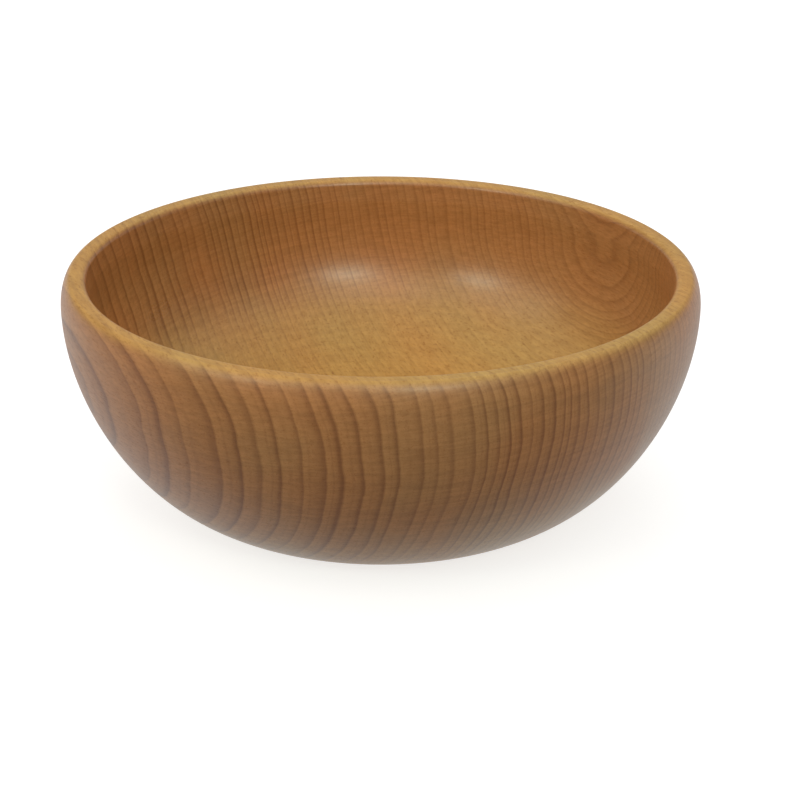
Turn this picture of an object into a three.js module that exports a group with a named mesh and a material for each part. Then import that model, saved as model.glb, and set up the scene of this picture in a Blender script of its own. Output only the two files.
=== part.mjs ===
// A shaving bowl turned from one block of beech: a round side that stands upright near the top,
// a thick rounded lip, a smooth deep hollow, and a flat foot ring around a shallow turned recess.
// Millimetres, +Z up. The origin is the centre of the foot, on the surface that the bowl stands on.

import * as THREE from "three";

// Outside
const BELLY_RADIUS = 60; // widest ring of the outside
const BOWL_HEIGHT = 45.5; // from the surface to the top of the lip
const FOOT_RADIUS = 33; // outer edge of the ring that the bowl stands on
const FOOT_ANGLE = THREE.MathUtils.degToRad(12); // rise of the side where it leaves the foot
const SIDE_PULL = 17.2; // how far the side keeps upright below the belly
const FOOT_PULL = 14.9; // how far the side keeps to the foot's angle

// Lip
const LIP_THICKNESS = 5.2; // from the belly in to the mouth, measured level
const LIP_OUTER_RISE = 5.5; // from the belly up to the lip's top
const LIP_OUTER_ROUND = 2.2; // level reach of the rounding from the belly to the lip's top
const LIP_INNER_ROUND = 1.4; // radius of the rounding from the lip's top into the mouth
const LIP_BAND_HEIGHT = 3.2; // upright band just inside the lip, under the rounding
const LIP_BAND_TAPER = 0.3; // how much the band closes in from its top to its bottom

// Hollow
const UNDERCUT = 0.25; // how far the hollow widens again under the band
const UNDERCUT_DROP = 4.5; // from the band down to the hollow's widest ring
const FLOOR_THICKNESS = 7.5; // wood under the middle of the hollow
const FLOOR_REACH = 9; // how far past the foot's edge the floor keeps level
const HOLLOW_SIDE_PULL = 18; // how far the hollow keeps upright below its widest ring

// Recess under the foot
const FOOT_RING_WIDTH = 7; // flat ring that touches the surface
const RECESS_DEPTH = 0.9; // how far the recess rises above the surface
const RECESS_CHAMFER = 1.4; // level reach of the recess's sloping edge

// Facets
const TURN_STEPS = 72;
const SIDE_STEPS = 14;
const LIP_STEPS = 5;
const HOLLOW_STEPS = 16;

const quarter = Math.PI / 2;
const bellyHeight = BOWL_HEIGHT - LIP_OUTER_RISE;
const mouthRadius = BELLY_RADIUS - LIP_THICKNESS;
const bandTopRadius = mouthRadius + LIP_BAND_TAPER;
const bandTopHeight = BOWL_HEIGHT - LIP_INNER_ROUND;
const bandFootHeight = bandTopHeight - LIP_BAND_HEIGHT;
const hollowRadius = mouthRadius + UNDERCUT;
const hollowWidestHeight = bandFootHeight - UNDERCUT_DROP;
const recessRadius = FOOT_RADIUS - FOOT_RING_WIDTH;

function point(radius, height) {
  return new THREE.Vector2(radius, height);
}

// Foot: the level recess and its sloping edge, which ends on the flat ring.
function footOutline() {
  return [
    point(0, RECESS_DEPTH),
    point(recessRadius - RECESS_CHAMFER, RECESS_DEPTH),
    point(recessRadius, 0),
  ];
}

// Side: one curve from the foot's edge up to the belly.
function sideOutline() {
  const side = new THREE.CubicBezierCurve(
    point(FOOT_RADIUS, 0),
    point(
      FOOT_RADIUS + FOOT_PULL * Math.cos(FOOT_ANGLE),
      FOOT_PULL * Math.sin(FOOT_ANGLE),
    ),
    point(BELLY_RADIUS, bellyHeight - SIDE_PULL),
    point(BELLY_RADIUS, bellyHeight),
  );
  return side.getPoints(SIDE_STEPS);
}

// Lip: a quarter ellipse outside, a level top, and a quarter circle inside.
function lipOutline() {
  const outer = new THREE.EllipseCurve(
    BELLY_RADIUS - LIP_OUTER_ROUND,
    bellyHeight,
    LIP_OUTER_ROUND,
    LIP_OUTER_RISE,
    0,
    quarter,
  );
  const inner = new THREE.EllipseCurve(
    bandTopRadius + LIP_INNER_ROUND,
    bandTopHeight,
    LIP_INNER_ROUND,
    LIP_INNER_ROUND,
    quarter,
    2 * quarter,
  );
  return [...outer.getPoints(LIP_STEPS).slice(1), ...inner.getPoints(LIP_STEPS)];
}

// Hollow: the band's foot, the slight undercut, and one curve down to the middle of the floor.
function hollowOutline() {
  const hollow = new THREE.CubicBezierCurve(
    point(hollowRadius, hollowWidestHeight),
    point(hollowRadius, hollowWidestHeight - HOLLOW_SIDE_PULL),
    point(FOOT_RADIUS + FLOOR_REACH, FLOOR_THICKNESS),
    point(0, FLOOR_THICKNESS),
  );
  return [point(mouthRadius, bandFootHeight), ...hollow.getPoints(HOLLOW_STEPS)];
}

function makeBowl() {
  const outline = [
    ...footOutline(),
    ...sideOutline(),
    ...lipOutline(),
    ...hollowOutline(),
  ];
  const geometry = new THREE.LatheGeometry(outline, TURN_STEPS);
  geometry.rotateX(quarter); // a lathe turns about Y, and the bowl stands along Z
  const oiledBeech = new THREE.MeshStandardMaterial({
    color: 0xa9743f,
    roughness: 0.42,
    metalness: 0,
  });
  const bowl = new THREE.Mesh(geometry, oiledBeech);
  bowl.name = "bowl";
  return bowl;
}

const shavingBowl = new THREE.Group();
shavingBowl.add(makeBowl());

export default shavingBowl;
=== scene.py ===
# A turned beech shaving bowl on a pale floor under soft studio light. Metres, +Z up.

import math

import bmesh
import bpy
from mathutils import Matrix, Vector


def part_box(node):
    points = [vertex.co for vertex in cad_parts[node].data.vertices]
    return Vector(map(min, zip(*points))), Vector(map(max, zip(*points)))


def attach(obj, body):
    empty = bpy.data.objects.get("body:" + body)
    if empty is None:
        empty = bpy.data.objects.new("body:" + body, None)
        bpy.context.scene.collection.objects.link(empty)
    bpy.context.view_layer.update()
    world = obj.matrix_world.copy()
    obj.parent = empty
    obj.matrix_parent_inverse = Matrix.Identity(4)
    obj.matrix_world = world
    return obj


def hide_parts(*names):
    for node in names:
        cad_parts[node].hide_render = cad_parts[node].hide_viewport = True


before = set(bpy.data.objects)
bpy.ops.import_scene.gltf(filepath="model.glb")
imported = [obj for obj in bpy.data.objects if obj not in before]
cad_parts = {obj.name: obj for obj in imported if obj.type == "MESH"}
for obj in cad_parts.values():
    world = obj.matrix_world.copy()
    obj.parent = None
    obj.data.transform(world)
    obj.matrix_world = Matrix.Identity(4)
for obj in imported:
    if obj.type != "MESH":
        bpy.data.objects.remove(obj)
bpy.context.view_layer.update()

MM = 0.001  # one millimetre, in metres

# ---------------------------------------------------------------- sizes, as in the CAD source

foot_corner, lip_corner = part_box("bowl")
BELLY_RADIUS = lip_corner.x
BOWL_HEIGHT = lip_corner.z
FOOT_RADIUS = 33 * MM
FOOT_ANGLE = math.radians(12)
SIDE_PULL = 17.2 * MM
FOOT_PULL = 14.9 * MM
LIP_THICKNESS = 5.2 * MM
LIP_OUTER_RISE = 5.5 * MM
LIP_OUTER_ROUND = 2.2 * MM
LIP_INNER_ROUND = 1.4 * MM
LIP_BAND_HEIGHT = 3.2 * MM
LIP_BAND_TAPER = 0.3 * MM
UNDERCUT = 0.25 * MM
UNDERCUT_DROP = 4.5 * MM
FLOOR_THICKNESS = 7.5 * MM
FLOOR_REACH = 9 * MM
HOLLOW_SIDE_PULL = 18 * MM
FOOT_RING_WIDTH = 7 * MM
RECESS_DEPTH = 0.9 * MM
RECESS_CHAMFER = 1.4 * MM

# ---------------------------------------------------------------- the camera

CAMERA_DISTANCE = 0.400
CAMERA_ELEVATION = math.radians(22.1)
CAMERA_LENS = 93.5  # on a 36 mm sensor
CAMERA_SHIFT_X = 0.0241
CAMERA_SHIFT_Y = -0.0295


def make_camera():
    aim = Vector((0, 0, BOWL_HEIGHT / 2))
    away = Vector((0, -math.cos(CAMERA_ELEVATION), math.sin(CAMERA_ELEVATION)))
    data = bpy.data.cameras.new("camera")
    data.lens = CAMERA_LENS
    data.shift_x = CAMERA_SHIFT_X
    data.shift_y = CAMERA_SHIFT_Y
    data.clip_start = 0.01
    camera = bpy.data.objects.new("camera", data)
    camera.location = aim + away * CAMERA_DISTANCE
    camera.rotation_euler = (math.pi / 2 - CAMERA_ELEVATION, 0, 0)
    bpy.context.scene.collection.objects.link(camera)
    bpy.context.scene.camera = camera


# ---------------------------------------------------------------- the bowl's outline


def bezier(start, pull_start, pull_end, end, steps):
    points = []
    for i in range(steps + 1):
        t = i / steps
        a, b, c, d = (1 - t) ** 3, 3 * t * (1 - t) ** 2, 3 * t * t * (1 - t), t**3
        points.append(
            tuple(
                a * start[k] + b * pull_start[k] + c * pull_end[k] + d * end[k]
                for k in (0, 1)
            )
        )
    return points


def arc(centre, reach, rise, turn_start, turn_end, steps):
    points = []
    for i in range(steps + 1):
        turn = turn_start + (turn_end - turn_start) * i / steps
        points.append(
            (centre[0] + reach * math.cos(turn), centre[1] + rise * math.sin(turn))
        )
    return points


def straight(start, end, steps):
    points = []
    for i in range(steps + 1):
        t = i / steps
        points.append(
            (start[0] + (end[0] - start[0]) * t, start[1] + (end[1] - start[1]) * t)
        )
    return points


def bowl_outline():
    belly_height = BOWL_HEIGHT - LIP_OUTER_RISE
    mouth_radius = BELLY_RADIUS - LIP_THICKNESS
    band_top = (mouth_radius + LIP_BAND_TAPER, BOWL_HEIGHT - LIP_INNER_ROUND)
    band_foot = (mouth_radius, band_top[1] - LIP_BAND_HEIGHT)
    hollow_top = (mouth_radius + UNDERCUT, band_foot[1] - UNDERCUT_DROP)
    recess_radius = FOOT_RADIUS - FOOT_RING_WIDTH
    recess_edge = (recess_radius - RECESS_CHAMFER, RECESS_DEPTH)
    pieces = [
        straight((0, RECESS_DEPTH), recess_edge, 24),
        straight(recess_edge, (recess_radius, 0), 3),
        straight((recess_radius, 0), (FOOT_RADIUS, 0), 6),
        bezier(
            (FOOT_RADIUS, 0),
            (
                FOOT_RADIUS + FOOT_PULL * math.cos(FOOT_ANGLE),
                FOOT_PULL * math.sin(FOOT_ANGLE),
            ),
            (BELLY_RADIUS, belly_height - SIDE_PULL),
            (BELLY_RADIUS, belly_height),
            64,
        ),
        arc(
            (BELLY_RADIUS - LIP_OUTER_ROUND, belly_height),
            LIP_OUTER_ROUND,
            LIP_OUTER_RISE,
            0,
            math.pi / 2,
            20,
        ),
        arc(
            (band_top[0] + LIP_INNER_ROUND, band_top[1]),
            LIP_INNER_ROUND,
            LIP_INNER_ROUND,
            math.pi / 2,
            math.pi,
            12,
        ),
        straight(band_top, band_foot, 6),
        straight(band_foot, hollow_top, 8),
        bezier(
            hollow_top,
            (hollow_top[0], hollow_top[1] - HOLLOW_SIDE_PULL),
            (FOOT_RADIUS + FLOOR_REACH, FLOOR_THICKNESS),
            (0, FLOOR_THICKNESS),
            80,
        ),
    ]
    outline = []
    for piece in pieces:
        for point in piece:
            if not outline or math.dist(point, outline[-1]) > 0.01 * MM:
                outline.append(point)
    return outline


TURN_STEPS = 288


def make_bowl():
    outline = bowl_outline()
    mesh = bmesh.new()
    rings = []
    for radius, height in outline:
        if radius < 0.01 * MM:
            rings.append([mesh.verts.new((0, 0, height))])
            continue
        ring = []
        for i in range(TURN_STEPS):
            turn = 2 * math.pi * i / TURN_STEPS
            ring.append(
                mesh.verts.new(
                    (radius * math.cos(turn), radius * math.sin(turn), height)
                )
            )
        rings.append(ring)
    for lower, upper in zip(rings, rings[1:]):
        for i in range(TURN_STEPS):
            j = (i + 1) % TURN_STEPS
            corners = []
            for vert in (
                lower[i % len(lower)],
                lower[j % len(lower)],
                upper[j % len(upper)],
                upper[i % len(upper)],
            ):
                if vert not in corners:
                    corners.append(vert)
            mesh.faces.new(corners)
    bmesh.ops.recalc_face_normals(mesh, faces=mesh.faces)
    data = bpy.data.meshes.new("turned_bowl")
    mesh.to_mesh(data)
    mesh.free()
    for polygon in data.polygons:
        polygon.use_smooth = True
    bowl = bpy.data.objects.new("turned_bowl", data)
    bpy.context.scene.collection.objects.link(bowl)
    return bowl


# ---------------------------------------------------------------- the wood

# The growth rings are wide tubes round a pith far off to one side. The block lies with its grain
# nearly level and the ring walls nearly upright. Lengths here are in millimetres.
BLOCK_CENTRE_HEIGHT = 20
GRAIN_TURN = math.radians(27.9)  # way that the grain runs, from -Y towards +X
GRAIN_LEAN = math.radians(-2.1)  # the same, up from level
RING_LEAN = math.radians(5.8)  # way out from the pith, up from level
PITH_DISTANCE = 278
BEND_REACH = 60  # the four bends below are what they add at this distance
SWEEP = -4.5
TAPER = -8.0
TWIST = -4.5
FLARE = -5.7
WIDE_RING = 2.3
NARROW_RING = 1.66
RINGS_NARROW_AT = -14.5  # distance from the block's centre, out from the pith
RINGS_CROWD_AT = 40  # the same, for where they start to crowd together
RING_CROWDING = 0.03  # extra rings for each square millimetre past there
WAVE_HEIGHT = 1.4  # slow wandering of the ring walls
RIPPLE_HEIGHT = 0.22  # quick wandering of the ring walls

# Darkness through one ring, from its inner edge: a faint band half way, and the dark latewood.
RING_PROFILE = (
    (0, 0.85),
    (0.12, 0),
    (0.36, 0.1),
    (0.46, 0.34),
    (0.57, 0.16),
    (0.76, 0.42),
    (0.88, 0.8),
    (1, 1),
)

# Marks in the wood: noise scales out, along and around, per millimetre, and where the noise
# starts and ends to count as a mark.
CLOUDS = ((0.05, 0.015, 0.04), 0.3, 0.7)
RAYS = ((0.09, 0.45, 2.2), 0.3, 0.7)
FIBRES = ((1.1, 0.2, 1.1), 0.35, 0.68)
FLECKS = ((2.2, 0.8, 3.2), 0.57, 0.70)
VESSELS = ((4.5, 0.6, 4.5), 0.54, 0.70)

# Linear colours of oiled beech, and what its marks multiply them by.
# The quartered faces lie nearly level here (rim top, hollow floor, underside) and take the
# lighter, yellower colour; the steep walls take the darker, redder one. That split is partly the
# wood's tone by face and partly painted light from overhead, with painted shade on the steep
# walls.
QUARTERED_FACE_AND_PAINTED_LIGHT = (0.45, 0.265, 0.065, 1)
OTHER_FACES_AND_PAINTED_SHADE = (0.36, 0.175, 0.063, 1)
RING_LINE_TINT = (0.58, 0.50, 0.44, 1)
CLOUD_TINT = (1.09, 0.95, 0.86, 1)
RAY_TINT = (1.16, 1.17, 1.20, 1)
FIBRE_TINT = (0.87, 0.83, 0.74, 1)
# The turning tint lightens the lathe rings: a painted sheen, not a colour of the wood.
PAINTED_TURNING_SHEEN = (1.05, 1.06, 1.05, 1)
FLECK_TINT = (0.80, 0.71, 0.57, 1)
VESSEL_TINT = (0.87, 0.80, 0.72, 1)


class Graph:
    """Builds shader nodes. An input is a socket or a plain number."""

    def __init__(self, tree):
        self.tree = tree

    def node(self, kind, inputs, **settings):
        node = self.tree.nodes.new(kind)
        for name, value in settings.items():
            setattr(node, name, value)
        for name, value in inputs.items():
            if isinstance(value, bpy.types.NodeSocket):
                self.tree.links.new(value, node.inputs[name])
            else:
                node.inputs[name].default_value = value
        return node

    def math(self, operation, *values):
        node = self.node("ShaderNodeMath", dict(enumerate(values)), operation=operation)
        return node.outputs[0]

    def total(self, first, *others):
        for other in others:
            first = self.math("ADD", first, other)
        return first

    def product(self, first, *others):
        for other in others:
            first = self.math("MULTIPLY", first, other)
        return first

    def vector(self, x, y, z):
        return self.node("ShaderNodeCombineXYZ", {"X": x, "Y": y, "Z": z}).outputs[0]

    def dot(self, vector, direction):
        inputs = {0: vector, 1: tuple(direction)}
        node = self.node("ShaderNodeVectorMath", inputs, operation="DOT_PRODUCT")
        return node.outputs["Value"]

    def noise(self, vector, detail):
        inputs = {"Vector": vector, "Scale": 1, "Detail": detail}
        return self.node("ShaderNodeTexNoise", inputs).outputs["Fac"]

    def noise_along(self, value, scale):
        inputs = {"W": value, "Scale": scale, "Detail": 1}
        node = self.node("ShaderNodeTexNoise", inputs, noise_dimensions="1D")
        return node.outputs["Fac"]

    def smooth(self, value, low, high, at_low=0.0, at_high=1.0):
        inputs = {"Value": value, "From Min": low, "From Max": high}
        inputs.update({"To Min": at_low, "To Max": at_high})
        node = self.node("ShaderNodeMapRange", inputs, interpolation_type="SMOOTHSTEP")
        return node.outputs["Result"]

    def ramp(self, value, stops):
        node = self.node("ShaderNodeValToRGB", {"Fac": value})
        elements = node.color_ramp.elements
        while len(elements) < len(stops):
            elements.new(0.5)
        for element, (place, level) in zip(elements, stops):
            element.position = place
            element.color = (level, level, level, 1)
        return node.outputs["Color"]

    def mix(self, factor, first, second, blend="MIX"):
        inputs = {0: factor, 6: first, 7: second}
        node = self.node("ShaderNodeMix", inputs, data_type="RGBA", blend_type=blend)
        return node.outputs[2]


def block_directions():
    """Way out from the pith, way along the grain, and way round the rings."""
    along = Vector(
        (
            math.sin(GRAIN_TURN) * math.cos(GRAIN_LEAN),
            -math.cos(GRAIN_TURN) * math.cos(GRAIN_LEAN),
            math.sin(GRAIN_LEAN),
        )
    )
    level = Vector((math.cos(GRAIN_TURN), math.sin(GRAIN_TURN), 0))
    upright = level.cross(along) * -1
    if upright.z < 0:
        upright = -upright
    out = level * math.cos(RING_LEAN) + upright * math.sin(RING_LEAN)
    around = upright * math.cos(RING_LEAN) - level * math.sin(RING_LEAN)
    return out, along, around


def block_position(graph):
    """Position in the block in millimetres, as three sockets: out, along, around."""
    place = graph.node("ShaderNodeTexCoord", {}).outputs["Object"]
    inputs = {0: place, 1: (1 / MM, 1 / MM, 1 / MM), 2: (0, 0, -BLOCK_CENTRE_HEIGHT)}
    scaled = graph.node("ShaderNodeVectorMath", inputs, operation="MULTIPLY_ADD").outputs[0]
    return [graph.dot(scaled, direction) for direction in block_directions()]


def ring_radius(graph, out, along, around):
    """Distance from the pith, less that of the block's centre, on bent and wavy tubes."""
    level = graph.total(out, PITH_DISTANCE)
    squares = graph.total(graph.product(level, level), graph.product(around, around))
    radius = graph.total(graph.math("SQRT", squares), -PITH_DISTANCE)
    pairs = (
        (SWEEP, along, along),
        (TAPER, out, along),
        (TWIST, along, around),
        (FLARE, out, around),
    )
    for size, first, second in pairs:
        radius = graph.total(radius, graph.product(first, second, size / BEND_REACH**2))
    slow = graph.vector(
        graph.product(out, 0.07), graph.product(along, 0.015), graph.product(around, 0.07)
    )
    quick = graph.vector(
        graph.product(out, 0.4), graph.product(along, 0.06), graph.product(around, 0.4)
    )
    wave = graph.product(graph.total(graph.noise(slow, 1), -0.5), WAVE_HEIGHT)
    ripple = graph.product(graph.total(graph.noise(quick, 1), -0.5), RIPPLE_HEIGHT)
    return graph.total(radius, wave, ripple)


def ring_count(graph, radius):
    """How many rings lie inside a radius: wide ones first, then narrower ones."""
    past = graph.total(radius, -RINGS_NARROW_AT)
    narrow = graph.product(past, 1 / NARROW_RING)
    wider = graph.product(graph.math("MINIMUM", past, 0), 1 / WIDE_RING - 1 / NARROW_RING)
    crowd = graph.math("MAXIMUM", graph.total(radius, -RINGS_CROWD_AT), 0)
    extra = graph.product(crowd, crowd, RING_CROWDING)
    uneven = graph.product(graph.total(graph.noise_along(radius, 0.2), -0.5), 1.3)
    return graph.total(narrow, wider, extra, uneven)


def ring_lines(graph, radius, quartered_and_lit):
    """Darkness of the latewood: it builds up through a ring and stops sharply at its end."""
    count = ring_count(graph, radius)
    part = graph.math("FRACT", count)
    line = graph.ramp(part, RING_PROFILE)
    year = graph.math("FLOOR", count)
    seed = graph.node("ShaderNodeTexWhiteNoise", {"W": year}, noise_dimensions="1D").outputs[0]
    uneven = graph.total(graph.product(seed, 0.6), 0.6)
    young = graph.smooth(radius, -17, 45, 1, 0.55)
    by_face = graph.smooth(quartered_and_lit, 0, 1, 1, 0.38)
    return graph.product(line, uneven, young, by_face)


def streaks(graph, position, scales, low, high):
    """Noise stretched by its own scale each way: out, along and around."""
    place = graph.vector(*(graph.product(p, scale) for p, scale in zip(position, scales)))
    return graph.smooth(graph.noise(place, 2), low, high)


def turning_marks_and_sheen(graph):
    """Faint rings round the bowl's own axis, left by the lathe tool and the sanding. They give a
    real bump, and in the colour they add a painted sheen.
    """
    place = graph.node("ShaderNodeTexCoord", {}).outputs["Object"]
    flat = graph.node("ShaderNodeVectorMath", {0: place, 1: (1, 1, 0)}, operation="MULTIPLY")
    reach = graph.node("ShaderNodeVectorMath", {0: flat.outputs[0]}, operation="LENGTH")
    return graph.smooth(graph.noise_along(reach.outputs["Value"], 1.1 / MM), 0.35, 0.65)


def hollow_polish(graph):
    """Roughness of the finish: the steep inside of the hollow shines more than the rest."""
    coordinates = graph.node("ShaderNodeTexCoord", {})
    inputs = {0: coordinates.outputs["Object"], 1: coordinates.outputs["Normal"]}
    outward = graph.node("ShaderNodeVectorMath", inputs, operation="DOT_PRODUCT")
    return graph.smooth(outward.outputs["Value"], -40 * MM, 5 * MM, 0.27, 0.42)


def tinted(graph, colour, amount, tint):
    return graph.mix(amount, colour, graph.mix(1.0, colour, tint, "MULTIPLY"))


def beech():
    material = bpy.data.materials.new("beech")
    material.use_nodes = True
    shader = material.node_tree.nodes["Principled BSDF"]
    graph = Graph(material.node_tree)
    position = block_position(graph)
    radius = ring_radius(graph, *position)
    normal = graph.node("ShaderNodeTexCoord", {}).outputs["Normal"]
    facing = graph.math("ABSOLUTE", graph.dot(normal, block_directions()[2]))
    # The quartered faces lie nearly level here, so this mask also marks where overhead light
    # falls: the face colours below use it to paint that light.
    quartered_and_lit = graph.smooth(facing, 0.35, 0.95)

    lines = ring_lines(graph, radius, quartered_and_lit)
    turning_and_sheen = turning_marks_and_sheen(graph)
    clouds = streaks(graph, position, *CLOUDS)
    rays = streaks(graph, position, *RAYS)
    rays = graph.product(rays, graph.smooth(quartered_and_lit, 0, 1, 1, 0.3))
    fibres = streaks(graph, position, *FIBRES)
    fibres = graph.product(fibres, graph.smooth(quartered_and_lit, 0, 1, 0.45, 1))
    flecks = streaks(graph, position, *FLECKS)
    flecks = graph.product(flecks, graph.smooth(quartered_and_lit, 0, 1, 0.3, 1))
    vessels = streaks(graph, position, *VESSELS)

    # Face colours: partly the wood's tone, partly painted light on the level faces and painted
    # shade on the steep walls.
    wood = graph.mix(quartered_and_lit, OTHER_FACES_AND_PAINTED_SHADE, QUARTERED_FACE_AND_PAINTED_LIGHT)
    wood = tinted(graph, wood, clouds, CLOUD_TINT)
    # Painted sheen: the lathe rings lightened in the colour.
    wood = tinted(graph, wood, turning_and_sheen, PAINTED_TURNING_SHEEN)
    wood = tinted(graph, wood, rays, RAY_TINT)
    wood = tinted(graph, wood, fibres, FIBRE_TINT)
    wood = tinted(graph, wood, lines, RING_LINE_TINT)
    wood = tinted(graph, wood, flecks, FLECK_TINT)
    wood = tinted(graph, wood, vessels, VESSEL_TINT)
    graph.tree.links.new(wood, shader.inputs["Base Color"])

    polish = hollow_polish(graph)
    roughness = graph.total(polish, graph.product(vessels, 0.12), graph.product(clouds, 0.06))
    graph.tree.links.new(roughness, shader.inputs["Roughness"])
    height = graph.total(
        graph.product(vessels, -0.6),
        graph.product(lines, 0.35),
        graph.product(rays, 0.15),
        graph.product(turning_and_sheen, 0.3),
    )
    bump = graph.node(
        "ShaderNodeBump", {"Height": height, "Distance": 0.02 * MM, "Strength": 0.6}
    )
    graph.tree.links.new(bump.outputs[0], shader.inputs["Normal"])
    shader.inputs["IOR"].default_value = 1.47
    shader.inputs["Coat Weight"].default_value = 0.2
    shader.inputs["Coat Roughness"].default_value = 0.28
    return material


make_camera()
bowl = make_bowl()
bowl.data.materials.append(beech())
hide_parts("bowl")
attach(bowl, "root")

# ---------------------------------------------------------------- floor and light

CENTRE = (0, 0, 0)
HOLLOW = (0, 0, 0.02)
SOFTBOX = (0.5, 0.5)
LAMP = (0.22, 0.16)
WHITE = (1, 1, 1)
WARM = (1, 0.86, 0.74)
GREENISH = (0.88, 1, 0.82)


def make_floor():
    """A plain white table. It throws no light back on the bowl: the low surround does that."""
    half = 3.0
    level = -0.02 * MM  # just under the foot, so that the two faces don't share one plane
    data = bpy.data.meshes.new("floor")
    data.from_pydata(
        [(-half, -half, level), (half, -half, level), (half, half, level), (-half, half, level)],
        [],
        [(0, 1, 2, 3)],
    )
    floor = bpy.data.objects.new("floor", data)
    bpy.context.scene.collection.objects.link(floor)
    paint = bpy.data.materials.new("floor")
    paint.use_nodes = True
    shader = paint.node_tree.nodes["Principled BSDF"]
    shader.inputs["Base Color"].default_value = (0.4, 0.4, 0.4, 1)
    shader.inputs["Roughness"].default_value = 0.9
    shader.inputs["Emission Color"].default_value = (1, 1, 1, 1)
    shader.inputs["Emission Strength"].default_value = 0.74
    data.materials.append(paint)
    floor.visible_diffuse = False
    floor.visible_glossy = False


def make_light(name, place, aim, size, power, colour):
    data = bpy.data.lights.new(name, "AREA")
    data.shape = "RECTANGLE"
    data.size, data.size_y = size
    data.energy = power
    data.color = colour
    light = bpy.data.objects.new(name, data)
    light.location = place
    light.rotation_euler = (Vector(aim) - Vector(place)).to_track_quat("-Z", "Y").to_euler()
    bpy.context.scene.collection.objects.link(light)
    return light


def make_world():
    """A white surround: brightest low behind, then overhead, and dimmer in front and between."""
    world = bpy.data.worlds.new("studio")
    world.use_nodes = True
    graph = Graph(world.node_tree)
    way = graph.node("ShaderNodeTexCoord", {}).outputs["Generated"]
    behind = graph.dot(way, (0, 1, 0))
    above = graph.dot(way, (0, 0, 1))
    low = graph.smooth(behind, -0.2, 0.4, 0.23, 1.0)
    middle = graph.smooth(behind, -0.2, 0.4, 0.21, 0.26)
    sides = graph.smooth(above, 0, 0.2, low, middle)
    strength = graph.smooth(above, 0.45, 0.75, sides, 0.87)
    world.node_tree.links.new(strength, world.node_tree.nodes["Background"].inputs["Strength"])
    world.node_tree.nodes["Background"].inputs["Color"].default_value = (1, 1, 1, 1)
    bpy.context.scene.world = world


make_floor()
softbox_behind = make_light("softbox_behind", (0, 0.6, 0.6), CENTRE, SOFTBOX, 1.5, WHITE)
softbox_behind.visible_glossy = False
make_light("softbox_left", (-0.6, -0.2, 0.5), CENTRE, SOFTBOX, 0.85, WARM)
make_light("softbox_front", (0, -0.55, 0.65), CENTRE, SOFTBOX, 1.2, WARM)
make_light("lamp_right", (0.17, -0.6, 0.41), HOLLOW, LAMP, 1.1, GREENISH)
make_light("lamp_left", (-0.5, -0.48, 0.42), HOLLOW, LAMP, 0.9, GREENISH)
make_world()
bpy.context.scene.view_settings.view_transform = "Standard"
